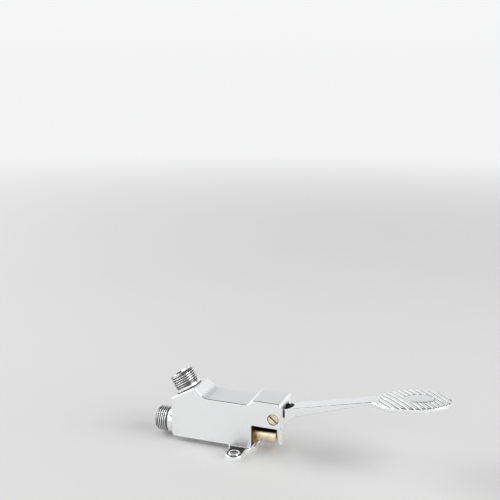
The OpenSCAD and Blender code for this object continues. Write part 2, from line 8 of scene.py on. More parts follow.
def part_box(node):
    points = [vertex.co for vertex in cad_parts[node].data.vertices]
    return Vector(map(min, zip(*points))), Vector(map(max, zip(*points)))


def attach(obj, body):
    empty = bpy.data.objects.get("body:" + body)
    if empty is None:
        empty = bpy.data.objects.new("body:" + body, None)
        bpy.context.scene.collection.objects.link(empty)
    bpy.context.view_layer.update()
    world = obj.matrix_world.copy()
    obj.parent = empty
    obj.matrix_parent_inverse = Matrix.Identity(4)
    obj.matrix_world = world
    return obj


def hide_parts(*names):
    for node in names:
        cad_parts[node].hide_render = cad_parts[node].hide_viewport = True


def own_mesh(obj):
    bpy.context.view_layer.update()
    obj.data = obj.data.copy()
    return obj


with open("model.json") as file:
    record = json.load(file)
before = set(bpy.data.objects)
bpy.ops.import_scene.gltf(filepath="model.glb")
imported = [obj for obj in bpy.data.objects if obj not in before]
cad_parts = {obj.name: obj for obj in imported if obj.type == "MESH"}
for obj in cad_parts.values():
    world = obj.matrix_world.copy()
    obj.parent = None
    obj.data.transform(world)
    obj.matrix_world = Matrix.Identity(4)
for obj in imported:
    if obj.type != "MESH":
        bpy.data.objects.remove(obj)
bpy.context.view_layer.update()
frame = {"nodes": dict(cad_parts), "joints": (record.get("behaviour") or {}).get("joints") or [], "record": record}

# The studio: a plain pale floor that runs into a pale wall, with a large soft lamp on either side.
# The room is pale low down and dark high up, so rounded polished edges show as thin dark lines.
# The camera stands where the photograph was taken from.
CAMERA_PLACE = (0.2135, -0.5699, 0.2987)
CAMERA_DOWN = 12.49
CAMERA_TURN = 20.16
CAMERA_LENS = 57.6
CAMERA_SENSOR = 36
FLOOR_REACH = 40
FLOOR_TONES = ((0.66, 0.66, 0.66, 1), (0.69, 0.69, 0.685, 1))
FLOOR_FADE = (0.5, 2.5)
PALE = (0.9, 0.9, 0.905, 1)
COOL = 1.005
FRONT = (0.29, -0.957, 0)
FRONT_FADE = (-0.05, 0.35)
BEHIND = [(0.0, 0.9), (0.5, 0.9), (0.585, 0.96), (0.74, 1.0), (0.84, 0.12), (1.0, 0.05)]
BEFORE = [(0.0, 0.9), (0.5, 0.9), (0.53, 1.2), (0.76, 1.2), (0.82, 0.1), (1.0, 0.05)]
LAMP_POWER = 41
LAMP_SIZE = 1.8
LAMP_X = 2.0
LAMP_Y = -0.2
LAMP_Z = 1.3


def put(tree, kind, inputs=None, **settings):
    """Adds a node with its settings, and its inputs linked or set by name or place."""
    node = tree.nodes.new(kind)
    for key, value in settings.items():
        setattr(node, key, value)
    for key, value in (inputs or {}).items():
        if isinstance(value, bpy.types.NodeSocket):
            tree.links.new(value, node.inputs[key])
        else:
            node.inputs[key].default_value = value
    return node


def sum_up(tree, kind, a, b=0.0, clamp=False):
    """One sum on two numbers."""
    return put(tree, "ShaderNodeMath", {0: a, 1: b}, operation=kind, use_clamp=clamp).outputs[0]


def scaled(tree, value, limits, result=(0.0, 1.0), smooth=False):
    """A number moved from one pair of limits to another, and held between them."""
    node = put(tree, "ShaderNodeMapRange", {"Value": value, "From Min": limits[0], "From Max": limits[1],
                                            "To Min": result[0], "To Max": result[1]},
               interpolation_type="SMOOTHSTEP" if smooth else "LINEAR")
    return node.outputs["Result"]


def blend_tone(tree, share, first, second):
    """A colour between two others."""
    return put(tree, "ShaderNodeMix", {0: share, 6: first, 7: second}, data_type="RGBA").outputs[2]


def new_finish(name, constants):
    """A material with constants on its shader's sockets; gives it, its tree, shader and coordinates."""
    material = bpy.data.materials.new(name)
    material.use_nodes = True
    tree = material.node_tree
    shader = tree.nodes["Principled BSDF"]
    for socket, value in constants.items():
        shader.inputs[socket].default_value = value
    return material, tree, shader, put(tree, "ShaderNodeTexCoord").outputs["Object"]


def link_up(thing):
    """Puts an object in the scene."""
    bpy.context.scene.collection.objects.link(thing)
    return thing


bpy.context.scene.view_settings.view_transform = "Standard"
camera = bpy.data.cameras.new("camera")
camera.lens = CAMERA_LENS
camera.sensor_width = CAMERA_SENSOR
viewpoint = link_up(bpy.data.objects.new("camera", camera))
viewpoint.location = CAMERA_PLACE
viewpoint.rotation_euler = (math.radians(90 - CAMERA_DOWN), 0, math.radians(CAMERA_TURN))
bpy.context.scene.camera = viewpoint

floor_mesh = bpy.data.meshes.new("floor")
floor_corners = [(x * FLOOR_REACH, y * FLOOR_REACH, 0) for x, y in ((-1, -1), (1, -1), (1, 1), (-1, 1))]
floor_mesh.from_pydata(floor_corners, [], [(0, 1, 2, 3)])
floor = link_up(bpy.data.objects.new("floor", floor_mesh))
floor_look = {"Specular IOR Level": 0.2, "Roughness": 0.6}
floor_finish, floor_tree, floor_shader, floor_place = new_finish("pale_floor", floor_look)
floor_cloud = put(floor_tree, "ShaderNodeTexNoise", {"Vector": floor_place, "Scale": 3.0}).outputs["Fac"]
floor_tree.links.new(blend_tone(floor_tree, floor_cloud, *FLOOR_TONES), floor_shader.inputs["Base Color"])
floor_far = put(floor_tree, "ShaderNodeVectorMath", {0: floor_place}, operation="LENGTH").outputs["Value"]
floor_fade = scaled(floor_tree, floor_far, FLOOR_FADE, smooth=True)
floor_ray = put(floor_tree, "ShaderNodeLightPath").outputs
floor_seen = sum_up(floor_tree, "MAXIMUM", floor_ray["Is Camera Ray"], floor_ray["Is Glossy Ray"])
floor_seen = sum_up(floor_tree, "MAXIMUM", floor_seen, floor_ray["Is Transmission Ray"])
floor_share = sum_up(floor_tree, "MULTIPLY", floor_fade, floor_seen)
floor_glow = put(floor_tree, "ShaderNodeEmission", {"Color": PALE}).outputs[0]
floor_mix = put(floor_tree, "ShaderNodeMixShader", {0: floor_share, 1: floor_shader.outputs[0],
                                                    2: floor_glow})
floor_tree.links.new(floor_mix.outputs[0], floor_tree.nodes["Material Output"].inputs["Surface"])
floor_mesh.materials.append(floor_finish)

world = bpy.data.worlds.new("studio")
bpy.context.scene.world = world
world.use_nodes = True
sky_tree = world.node_tree
sky_way = put(sky_tree, "ShaderNodeTexCoord").outputs["Generated"]
sky_up = put(sky_tree, "ShaderNodeSeparateXYZ", {0: sky_way}).outputs["Z"]
sky_height = scaled(sky_tree, sky_up, (-1.0, 1.0))


def sky_side(levels):
    """The room's brightness on one side, from the floor up."""
    ramp = put(sky_tree, "ShaderNodeValToRGB", {"Fac": sky_height})
    for place, level in levels[1:-1]:
        ramp.color_ramp.elements.new(place)
    for stop, (place, level) in zip(ramp.color_ramp.elements, levels):
        stop.position = place
        stop.color = (level, level, level * COOL, 1)
    return ramp.outputs["Color"]


sky_front = put(sky_tree, "ShaderNodeVectorMath", {0: sky_way, 1: FRONT}, operation="DOT_PRODUCT")
sky_turn = scaled(sky_tree, sky_front.outputs["Value"], FRONT_FADE, smooth=True)
sky_tone = blend_tone(sky_tree, sky_turn, sky_side(BEHIND), sky_side(BEFORE))
sky_tree.links.new(sky_tone, sky_tree.nodes["Background"].inputs["Color"])

for side in (-1, 1):
    lamp = bpy.data.lights.new("side_lamp", "AREA")
    lamp.energy = LAMP_POWER
    lamp.size = LAMP_SIZE
    softbox = link_up(bpy.data.objects.new("side_lamp", lamp))
    softbox.location = (side * LAMP_X, LAMP_Y, LAMP_Z)
    softbox.rotation_euler = (-softbox.location).to_track_quat("-Z", "Y").to_euler()

# The casting: the valve's body with its foot, ears, cheeks and hood in one piece.
# Cast in brass, linished on its broad faces, buffed on its edges and plated with chrome.
MM = 0.001
SHARP = math.radians(30)
FLOAT = "NodeSocketFloat"
VECTOR = "NodeSocketVector"
LEFT_RIGHT = (1, 0, 0)
NEAR_FAR = (0, 1, 0)
UP_DOWN = (0, 0, 1)
joints = {joint["name"]: joint for joint in frame["joints"]}
mounts = {mount["name"]: mount for mount in frame["record"]["mounts"]}
PIVOT_X = round(joints["pedal_pivot"]["pos_m"][0] / MM, 3)
PIVOT_Z = round(joints["pedal_pivot"]["pos_m"][2] / MM, 3)
AXIS_Z = round(mounts["inlet_thread"]["pos_m"][2] / MM, 3)
OUTLET_WAY = mounts["outlet_thread"]["axis"]
EAR_Y = mounts["floor_screws"]["dims"]["spacing_y_mm"] / 2
REAR_X = round(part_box("valve_body")[0].x / MM, 3)
COLLAR_R = 11.5
WATER_WAY = 10.0
WINDOW_X = 10.0
WINDOW_HALF = 9.5
HOOD_X = 19.0
CHEEK_Y = 12.0
BELLY_X = -11.0
FOOT_TOP = 4.0
PIVOT_HOLE = 5.2
EAR_HOLE = 4.0
EAR_RING = 5.0
CAST_ROUND = 0.8
FOOT_ROUND = 0.6
SLOT_ROUND = 0.5
RING_ROUND = 0.3
FINE_ROUND = 0.25
HOLE_ROUND = 0.2
# The boxes below mark painted shade in the slot, in the window and round the screw's head.
SLOT_SHADE = ((18.0, -8.2, 22.9), (34.8, 8.2, 40.8), 0.8)
WINDOW_TOP_SHADE = ((9.0, -12.8, 22.9), (19.0, 12.8, 24.5), 0.8)
WINDOW_WALL_SHADE = ((9.0, -13.3, 5.0), (11.0, 13.3, 24.5), 0.8)
SCREW_SEAT_SHADE = ((23.0, -13.4, 26.0), (33.6, -9.0, 37.2), 0.4)
# The two ear boxes mark a painted dark reflection on the ears' tops.
NEAR_EAR_REFLECTION = ((-9.0, -33.0, 3.1), (6.6, -13.8, 4.9), 0.8)
FAR_EAR_REFLECTION = ((-9.0, 13.8, 3.1), (6.6, 33.0, 4.9), 0.8)
BRIGHT_CHROME = (0.93, 0.935, 0.94, 1)
HAZY_CHROME = (0.88, 0.89, 0.9, 1)
# A tone of painted shade for chrome hollows: thread roots, tread grooves and the arm's dish.
SHADED_HOLLOW_CHROME = (0.09, 0.086, 0.082, 1)
# A tone of painted shade for chrome inside its shade boxes.
SHADE_CHROME = (0.035, 0.032, 0.03, 1)


def new_tree(name, kind, inputs, outputs):
    """A node tree with named sockets; gives the tree, its inputs and its outputs."""
    tree = bpy.data.node_groups.new(name, kind)
    for label, socket, value in inputs:
        item = tree.interface.new_socket(label, in_out="INPUT", socket_type=socket)
        if value is not None:
            item.default_value = value
    for label, socket in outputs:
        tree.interface.new_socket(label, in_out="OUTPUT", socket_type=socket)
    return tree, tree.nodes.new("NodeGroupInput").outputs, tree.nodes.new("NodeGroupOutput").inputs


def new_effect(name, inputs, output):
    """A shared effect's tree, which takes coordinates and more, and gives one number."""
    return new_tree(name, "ShaderNodeTree", [("Coordinates", VECTOR, None)] + inputs, [(output, FLOAT)])


def cloud_group():
    """A soft uneven value between two limits, for haze, tarnish and grain."""
    limits = [("Low", FLOAT, 0.0), ("High", FLOAT, 1.0)]
    tree, given, out = new_effect("cloud", [("Scale", FLOAT, 100.0)] + limits, "Value")
    noise = put(tree, "ShaderNodeTexNoise", {"Vector": given["Coordinates"], "Scale": given["Scale"],
                                             "Detail": 3.0}).outputs["Fac"]
    tree.links.new(scaled(tree, noise, (0.3, 0.7), (given["Low"], given["High"])), out["Value"])
    return tree


def rub_group():
    """Where hands and cloths rub: the rounded edges, broken up by a fine cloud."""
    tree, given, out = new_effect("edge_rub", [("Edge", FLOAT, 0.0)], "Mask")
    noise = put(tree, "ShaderNodeTexNoise", {"Vector": given["Coordinates"], "Scale": 260.0})
    uneven = scaled(tree, noise.outputs["Fac"], (0.25, 0.6), (0.55, 1.0))
    tree.links.new(sum_up(tree, "MULTIPLY", given["Edge"], uneven, True), out["Mask"])
    return tree


def shade_box_group():
    """A box of painted shade and reflection: a mask inside it, fading in over its sides."""
    corners = [("Low", VECTOR, None), ("High", VECTOR, None)]
    tree, given, out = new_effect("shade_box", corners + [("Fade", FLOAT, 0.0008)], "Mask")
    above = put(tree, "ShaderNodeVectorMath", {0: given["Coordinates"], 1: given["Low"]},
                operation="SUBTRACT").outputs[0]
    below = put(tree, "ShaderNodeVectorMath", {0: given["High"], 1: given["Coordinates"]},
                operation="SUBTRACT").outputs[0]
    least = put(tree, "ShaderNodeVectorMath", {0: above, 1: below}, operation="MINIMUM").outputs[0]
    parts = put(tree, "ShaderNodeSeparateXYZ", {0: least}).outputs
    depth = sum_up(tree, "MINIMUM", sum_up(tree, "MINIMUM", parts["X"], parts["Y"]), parts["Z"])
    tree.links.new(scaled(tree, depth, (0.0, given["Fade"]), smooth=True), out["Mask"])
    return tree


CLOUD = cloud_group()
EDGE_RUB = rub_group()
SHADE_BOX = shade_box_group()


def use_group(tree, group, inputs):
    """A shared effect placed in a material, with its own values."""
    return put(tree, "ShaderNodeGroup", inputs, node_tree=group).outputs


def cloud(tree, place, scale, low, high):
    """The shared cloud's value at one scale, between two limits."""
    inputs = {"Coordinates": place, "Scale": scale, "Low": low, "High": high}
    return use_group(tree, CLOUD, inputs)["Value"]


def mask_of(tree, name):
    """A mask that the mesh carries: its rounded edges, or its hollows that get painted shade and reflection."""
    return put(tree, "ShaderNodeAttribute", attribute_name=name).outputs["Fac"]


def darken(tree, place, metal, shade_boxes, tone, cover=1.0):
    """A metal's colour with painted shade laid in each box, as far as the cover lets it be."""
    for low, high, fade in shade_boxes:
        inside = use_group(tree, SHADE_BOX, {"Coordinates": place, "Low": [v * MM for v in low],
                                          "High": [v * MM for v in high], "Fade": fade * MM})["Mask"]
        # Each box lays painted shade into the metal's colour.
        metal = blend_tone(tree, sum_up(tree, "MULTIPLY", inside, cover), metal, tone)
    return metal


def raise_grain(tree, shader, height, strength, depth):
    """A fine relief on a surface, its depth in millimetres."""
    bump = put(tree, "ShaderNodeBump", {"Strength": strength, "Distance": depth * MM, "Height": height})
    tree.links.new(bump.outputs["Normal"], shader.inputs["Normal"])


def chrome_plate(name, dull, polished, strokes, shade_boxes=()):
    """Chrome with buffing strokes, a faint haze, bright rubbed edges, rougher hollows with painted shade, and
    painted shade and reflection in given boxes.
    """
    material, tree, shader, place = new_finish(name, {"Metallic": 1.0})
    stretched = put(tree, "ShaderNodeMapping", {"Vector": place, "Scale": strokes}).outputs["Vector"]
    stroke = cloud(tree, stretched, 1.0, -0.025, 0.03)
    haze = cloud(tree, place, 55.0, -0.02, 0.035)
    shade_spread = cloud(tree, place, 120.0, 0.8, 1.0)
    peel = cloud(tree, place, 500.0, 0.0, 1.0)
    edge = mask_of(tree, "edge")
    hollow = mask_of(tree, "hollow")
    rub = use_group(tree, EDGE_RUB, {"Coordinates": place, "Edge": edge})["Mask"]
    rough = sum_up(tree, "ADD", stroke, haze)
    rough = sum_up(tree, "ADD", rough, scaled(tree, rub, (0.0, 1.0), (dull, polished)))
    rough = sum_up(tree, "ADD", rough, sum_up(tree, "MULTIPLY", hollow, 0.25))
    tree.links.new(rough, shader.inputs["Roughness"])
    plate = blend_tone(tree, haze, BRIGHT_CHROME, HAZY_CHROME)
    # Painted shade in the hollows, made patchy by a cloud.
    plate = blend_tone(tree, sum_up(tree, "MULTIPLY", hollow, shade_spread, True), plate, SHADED_HOLLOW_CHROME)
    flat = sum_up(tree, "SUBTRACT", 1.0, edge, True)
    plate = darken(tree, place, plate, shade_boxes, SHADE_CHROME, flat)
    tree.links.new(plate, shader.inputs["Base Color"])
    raise_grain(tree, shader, peel, 0.02, 0.2)
    return material


def welded(node, cuts):
    """A CAD solid's skin, welded, with its flat faces whole but for straight cuts through their holes.

    Each cut gives the way that its faces look, a point in millimetres and the way across it.
    """
    skin = bmesh.new()
    skin.from_mesh(frame["nodes"][node].data)
    bmesh.ops.remove_doubles(skin, verts=skin.verts, dist=2e-6)
    skin.normal_update()
    for facing, spot, across in cuts:
        faces = [face for face in skin.faces if abs(face.normal.dot(Vector(facing))) > 0.9995]
        edges = list(dict.fromkeys(edge for face in faces for edge in face.edges))
        points = list(dict.fromkeys(point for face in faces for point in face.verts))
        made = bmesh.ops.bisect_plane(skin, geom=points + edges + faces, dist=1e-6,
                                      plane_co=Vector(spot) * MM, plane_no=across)
        for item in made["geom_cut"]:
            if isinstance(item, bmesh.types.BMEdge):
                item.seam = True
    bmesh.ops.dissolve_limit(skin, angle_limit=math.radians(0.3), verts=skin.verts, edges=skin.edges,
                             delimit={"SEAM"})
    for edge in skin.edges:
        edge.seam = False
    skin.normal_update()
    return skin


def as_piece(name, skin, material):
    """A mesh object in the scene, all smooth, from a skin that is then let go."""
    mesh = bpy.data.meshes.new(name)
    skin.to_mesh(mesh)
    skin.free()
    if "custom_normal" in mesh.attributes:
        mesh.attributes.remove(mesh.attributes["custom_normal"])
    mesh.materials.append(material)
    for face in mesh.polygons:
        face.use_smooth = True
        face.material_index = 0
    return link_up(bpy.data.objects.new(name, mesh))


def settle(piece):
    """Turns a piece and its modifiers into one plain mesh."""
    bpy.context.view_layer.update()
    depsgraph = bpy.context.evaluated_depsgraph_get()
    made = piece.evaluated_get(depsgraph)
    mesh = bpy.data.meshes.new_from_object(made, preserve_all_data_layers=True, depsgraph=depsgraph)
    blank = piece.data
    piece.modifiers.clear()
    piece.data = mesh
    bpy.data.meshes.remove(blank)
    mesh.name = piece.name


def mark_edges(piece):
    """Writes the rounded edges, which the bevel put on a second slot, as a mask on the faces."""
    mesh = piece.data
    rounds = [face.material_index for face in mesh.polygons]
    for face in mesh.polygons:
        face.material_index = 0
    mesh.materials.pop()
    mask = mesh.attributes.new("edge", "FLOAT", "FACE")
    mask.data.foreach_set("value", rounds)


def round_edges(piece, widest, steps=3):
    """Rounds the weighted edges of a piece and keeps its flat faces flat."""
    piece.data.materials.append(piece.data.materials[0])
    bevel = piece.modifiers.new("rounds", "BEVEL")
    bevel.limit_method = "WEIGHT"
    bevel.offset_type = "OFFSET"
    bevel.width = widest * MM
    bevel.segments = steps
    bevel.use_clamp_overlap = False
    bevel.material = 1
    flats = piece.modifiers.new("flats", "WEIGHTED_NORMAL")
    flats.keep_sharp = True
    settle(piece)
    mark_edges(piece)


def weigh_edges(skin, widest, round_at):
    """Gives each sharp edge the round that round_at asks for at its middle, all in millimetres."""
    weight = skin.edges.layers.float.new("bevel_weight_edge")
    for edge in skin.edges:
        if edge.is_manifold and edge.calc_face_angle(0) > SHARP:
            x, y, z = (edge.verts[0].co + edge.verts[1].co) / 2 / MM
            wanted = round_at(x, y, z)
            edge[weight] = wanted / widest
            edge.smooth = wanted > 0


def rounded(name, node, cuts, material, widest, round_at, steps=3):
    """A CAD solid with its sharp edges rounded as round_at asks."""
    skin = welded(node, cuts)
    weigh_edges(skin, widest, round_at)
    piece = as_piece(name, skin, material)
    round_edges(piece, widest, steps)
    return piece


def casting_round(x, y, z):
    """The round on each of the casting's edges, and none on narrow steps whose rounds would meet."""
    from_axis = math.hypot(y, z - AXIS_Z)
    from_pivot = math.hypot(x - PIVOT_X, z - PIVOT_Z)
    from_screw = math.hypot(x, abs(y) - EAR_Y)
    in_bore = x < WINDOW_X - 1 and from_axis < WATER_WAY
    under_collar = x < REAR_X + 2 and from_axis < COLLAR_R + 0.3
    at_window = WINDOW_X - 0.5 < x < WINDOW_X + 1.2 and abs(y) < WINDOW_HALF
    under_belly = x < BELLY_X and z < FOOT_TOP - 0.1
    if in_bore or under_collar or (at_window and z < FOOT_TOP + 0.1):
        return 0.0
    if from_pivot < PIVOT_HOLE or from_screw < EAR_HOLE:
        return HOLE_ROUND
    if from_screw < EAR_RING:
        return RING_ROUND
    if z < 0.2 or under_belly:
        return FINE_ROUND
    if abs(y) >= CHEEK_Y:
        return CAST_ROUND
    if x >= HOOD_X:
        return SLOT_ROUND
    return FINE_ROUND if z > FOOT_TOP + 0.5 else FOOT_ROUND


# The casting's finish carries painted shade in the slot, window and screw seat, and a painted reflection on the
# ears' tops.
casting_finish = chrome_plate("chrome_linished", dull=0.45, polished=0.07, strokes=(35.0, 1500.0, 1500.0),
                              shade_boxes=[SLOT_SHADE, WINDOW_TOP_SHADE, WINDOW_WALL_SHADE, SCREW_SEAT_SHADE, NEAR_EAR_REFLECTION, FAR_EAR_REFLECTION])
casting_cuts = [(NEAR_FAR, (0, 0, PIVOT_Z), UP_DOWN), (LEFT_RIGHT, (0, 0, 0), NEAR_FAR),
                (OUTLET_WAY, (0, 0, 0), NEAR_FAR), (UP_DOWN, (0, 0, 0), LEFT_RIGHT)]
casting = rounded("casting", "valve_body", casting_cuts, casting_finish, CAST_ROUND, casting_round)
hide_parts("valve_body")
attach(casting, "valve")

# The seat: a turned brass ring with a raised lip, screwed home from the inlet on a fibre washer.
# It stays inside the casting.
BRIGHT_BRASS = (0.98, 0.86, 0.64, 1)
DULL_BRASS = (0.46, 0.28, 0.11, 1)
RUBBED_BRASS = (0.98, 0.89, 0.68, 1)
# A tone of painted shade and reflection for brass inside its shade boxes.
SHADE_BRASS = (0.05, 0.024, 0.01, 1)
DARK_FIBRE = (0.05, 0.046, 0.043, 1)
PALE_FIBRE = (0.16, 0.145, 0.13, 1)
ON_AXIS = (0, 0, AXIS_Z)


def turned_group():
    """Fine lines left by the lathe: along the X axis on round faces, rings on end faces."""
    tree, given, out = new_effect("turned_lines", [("Lines", FLOAT, 4000.0)], "Value")
    parts = put(tree, "ShaderNodeSeparateXYZ", {0: given["Coordinates"]}).outputs
    across = put(tree, "ShaderNodeCombineXYZ", {"Y": parts["Y"], "Z": parts["Z"]}).outputs[0]
    radius = put(tree, "ShaderNodeVectorMath", {0: across}, operation="LENGTH").outputs["Value"]
    along = sum_up(tree, "MULTIPLY", sum_up(tree, "ADD", parts["X"], radius), given["Lines"])
    noise = put(tree, "ShaderNodeTexNoise", {"W": along, "Scale": 1.0, "Detail": 2.0},
                noise_dimensions="1D")
    tree.links.new(noise.outputs["Fac"], out["Value"])
    return tree


TURNED = turned_group()


def turned_brass(name, centre, turn, bright_at, dull_at, shade_boxes=()):
    """Turned brass that grows duller from one place along its axis to another, with painted shade and reflection
    in given boxes.
    """
    material, tree, shader, place = new_finish(name, {"Metallic": 1.0})
    lathe = put(tree, "ShaderNodeMapping", {"Vector": place, "Location": [c * MM for c in centre],
                                            "Rotation": (0, 0, math.radians(turn))},
                vector_type="TEXTURE").outputs["Vector"]
    lines = use_group(tree, TURNED, {"Coordinates": lathe, "Lines": 3500.0})["Value"]
    along = put(tree, "ShaderNodeSeparateXYZ", {0: lathe}).outputs["X"]
    # Duller from bright_at to dull_at; on the plunger and the gland this is painted shade towards the window's
    # wall.
    far = scaled(tree, along, (bright_at * MM, dull_at * MM))
    dulling = sum_up(tree, "ADD", far, cloud(tree, place, 160.0, -0.25, 0.35), True)
    rub = use_group(tree, EDGE_RUB, {"Coordinates": place, "Edge": mask_of(tree, "edge")})["Mask"]
    metal = blend_tone(tree, dulling, BRIGHT_BRASS, DULL_BRASS)
    metal = blend_tone(tree, rub, metal, RUBBED_BRASS)
    metal = darken(tree, place, metal, shade_boxes, SHADE_BRASS)
    tree.links.new(metal, shader.inputs["Base Color"])
    tree.links.new(scaled(tree, lines, (0.3, 0.7), (0.2, 0.4)), shader.inputs["Roughness"])
    raise_grain(tree, shader, lines, 0.12, 0.03)
    return material


def clouded(name, constants, tones, tone_cloud, rough_cloud, strength, depth, felted=False):
    """A finish whose colour and roughness follow a cloud each, given as scale, low and high.

    Its relief follows the roughness, or the colour where the surface is felted.
    """
    material, tree, shader, place = new_finish(name, constants)
    tone = cloud(tree, place, *tone_cloud)
    rough = cloud(tree, place, *rough_cloud)
    tree.links.new(blend_tone(tree, tone, *tones), shader.inputs["Base Color"])
    tree.links.new(rough, shader.inputs["Roughness"])
    raise_grain(tree, shader, tone if felted else rough, strength, depth)
    return material


def dress(node, material):
    """Gives a CAD node that keeps its shape its finish."""
    for slot in frame["nodes"][node].material_slots:
        slot.material = material


bore_brass = turned_brass("brass_in_water", ON_AXIS, turn=0, bright_at=-60, dull_at=200)
fibre = clouded("graphite_fibre", {"Metallic": 0.0, "Specular IOR Level": 0.3}, (DARK_FIBRE, PALE_FIBRE),
                tone_cloud=(2200.0, -0.6, 1.0), rough_cloud=(250.0, 0.62, 0.85), strength=0.4, depth=0.05,
                felted=True)
dress("valve_seat", bore_brass)
dress("seat_gasket", fibre)

# The two nipples: turned brass tubes with a collar and a half-inch pipe thread, plated with chrome.
# Each is screwed into the casting and sealed with a fibre washer under its collar.
PITCH = 1.814
CREST_R = mounts["inlet_thread"]["dims"]["r_mm"]
ROOT_R = 9.3155
SPIGOT_R = 9.0
BORE_R = 5.0
WIDE_BORE_R = 6.7
LEDGE = 3.2
WASHER = 1.0
TURNS = 6
ROWS_PER_TURN = 14
OUTLET_PLACE = (-49.6, 0, 43.0045)
LEAD_IN = 0.4
COLLAR_EASE = 0.3
COLLAR_ROUND = 0.45
MOUTH = 0.7
THREAD_FOOT = 0.3
THREAD_FILLET = 0.2
THREAD_END = 0.25
RUN_OUT = 0.1
FLANK = (0.12, 0.8)
# How fast the painted shade in the thread's roots clears towards the crests.
ROOT_SHADE_POWER = 2.5


def new_maker(name, numbers):
    """A geometry tree that takes a shape, numbers and a finish, and gives a shape."""
    shape = ("Geometry", "NodeSocketGeometry")
    inputs = [(*shape, None)] + [(label, FLOAT, 1.0) for label in numbers]
    inputs.append(("Finish", "NodeSocketMaterial", None))
    return new_tree(name, "GeometryNodeTree", inputs, [shape])


def close_tree(tree, shape, given, out):
    """Ends a geometry tree: real geometry, in its finish."""
    real = put(tree, "GeometryNodeRealizeInstances", {"Geometry": shape})
    dressed = put(tree, "GeometryNodeSetMaterial", {"Geometry": real.outputs[0],
                                                    "Material": given["Finish"]})
    tree.links.new(dressed.outputs[0], out["Geometry"])


def thread_tree():
    """Cuts a right-handed thread along Z into the points of a blank that are marked for it."""
    tree, given, out = new_maker("cut_thread", ["Root", "Crest", "Pitch", "Start", "End"])
    position = tree.nodes.new("GeometryNodeInputPosition").outputs[0]
    spot = put(tree, "ShaderNodeSeparateXYZ", {0: position}).outputs
    radius = sum_up(tree, "SQRT", sum_up(tree, "ADD", sum_up(tree, "MULTIPLY", spot["X"], spot["X"]),
                                         sum_up(tree, "MULTIPLY", spot["Y"], spot["Y"])))
    turn = sum_up(tree, "DIVIDE", sum_up(tree, "ARCTAN2", spot["Y"], spot["X"]), 2 * math.pi)
    phase = sum_up(tree, "SUBTRACT", sum_up(tree, "DIVIDE", spot["Z"], given["Pitch"]), turn)
    tooth = sum_up(tree, "MULTIPLY", sum_up(tree, "PINGPONG", phase, 0.5), 2.0)
    flank = scaled(tree, tooth, FLANK, smooth=True)
    run_in = sum_up(tree, "ADD", given["Start"], given["Pitch"])
    run_out = sum_up(tree, "SUBTRACT", given["End"], given["Pitch"])
    low = scaled(tree, spot["Z"], (given["Start"], run_in))
    high = scaled(tree, spot["Z"], (given["End"], run_out))
    rise = sum_up(tree, "MULTIPLY", flank, sum_up(tree, "MULTIPLY", low, high))
    cut = put(tree, "GeometryNodeInputNamedAttribute", {"Name": "cut"}, data_type="FLOAT")
    cut = cut.outputs["Attribute"]
    depth = sum_up(tree, "SUBTRACT", given["Crest"], given["Root"])
    wanted = sum_up(tree, "ADD", given["Root"], sum_up(tree, "MULTIPLY", depth, rise))
    change = sum_up(tree, "MULTIPLY", cut, sum_up(tree, "SUBTRACT", wanted, radius))
    ratio = sum_up(tree, "DIVIDE", sum_up(tree, "ADD", radius, change), radius)
    moved = put(tree, "ShaderNodeCombineXYZ", {"X": sum_up(tree, "MULTIPLY", spot["X"], ratio),
                                               "Y": sum_up(tree, "MULTIPLY", spot["Y"], ratio),
                                               "Z": spot["Z"]}).outputs[0]
    # Painted shade in the thread's roots, clear on the crests, kept as the hollow mask.
    crest_lit = sum_up(tree, "POWER", rise, ROOT_SHADE_POWER)
    hollow = sum_up(tree, "MULTIPLY", cut, sum_up(tree, "SUBTRACT", 1.0, crest_lit))
    kept = put(tree, "GeometryNodeStoreNamedAttribute",
               {"Geometry": given["Geometry"], "Name": "hollow", "Value": hollow},
               data_type="FLOAT", domain="POINT")
    shaped = put(tree, "GeometryNodeSetPosition", {"Geometry": kept.outputs[0], "Position": moved})
    close_tree(tree, shaped.outputs[0], given, out)
    return tree


THREAD = thread_tree()


def run_tree(piece, tree, values):
    """Runs a geometry tree on a piece and keeps the result as a plain mesh."""
    modifier = piece.modifiers.new(tree.name, "NODES")
    modifier.node_group = tree
    for item in tree.interface.items_tree:
        if item.in_out == "INPUT" and item.name in values:
            modifier[item.identifier] = values[item.name]
    settle(piece)


def spun(name, profile, material, closed, sides=96):
    """A turned blank round Z from (radius, height, cut) in millimetres; cut marks a threaded face."""
    skin = bmesh.new()
    cut = skin.verts.layers.float.new("cut")
    rings = []
    for radius, height, threaded in profile:
        ring = []
        for step in range(sides):
            angle = 2 * math.pi * step / sides
            spot = (radius * MM * math.cos(angle), radius * MM * math.sin(angle), height * MM)
            point = skin.verts.new(spot)
            point[cut] = threaded
            ring.append(point)
        rings.append(ring)
    pairs = list(zip(rings, rings[1:]))
    if closed:
        pairs.append((rings[-1], rings[0]))
    for lower, upper in pairs:
        for step in range(sides):
            after = (step + 1) % sides
            skin.faces.new((lower[step], lower[after], upper[after], upper[step]))
    bmesh.ops.remove_doubles(skin, verts=skin.verts, dist=1e-6)
    bmesh.ops.recalc_face_normals(skin, faces=skin.faces)
    return as_piece(name, skin, material)


def crease(piece):
    """Marks a turned piece's corners as sharp, but not its thread."""
    skin = bmesh.new()
    skin.from_mesh(piece.data)
    cut = skin.verts.layers.float["cut"]
    for edge in skin.edges:
        plain = min(point[cut] for point in edge.verts) < 0.5
        edge.smooth = not (plain and edge.is_manifold and edge.calc_face_angle(0) > SHARP)
    skin.to_mesh(piece.data)
    skin.free()
    piece.data.attributes.remove(piece.data.attributes["cut"])


def thread_rows(start, end, root, per_turn, pitch):
    """Close rows of points along a face that is to be threaded."""
    count = round((end - start) / pitch * per_turn)
    return [(root, start + (end - start) * row / count, 1) for row in range(count + 1)]


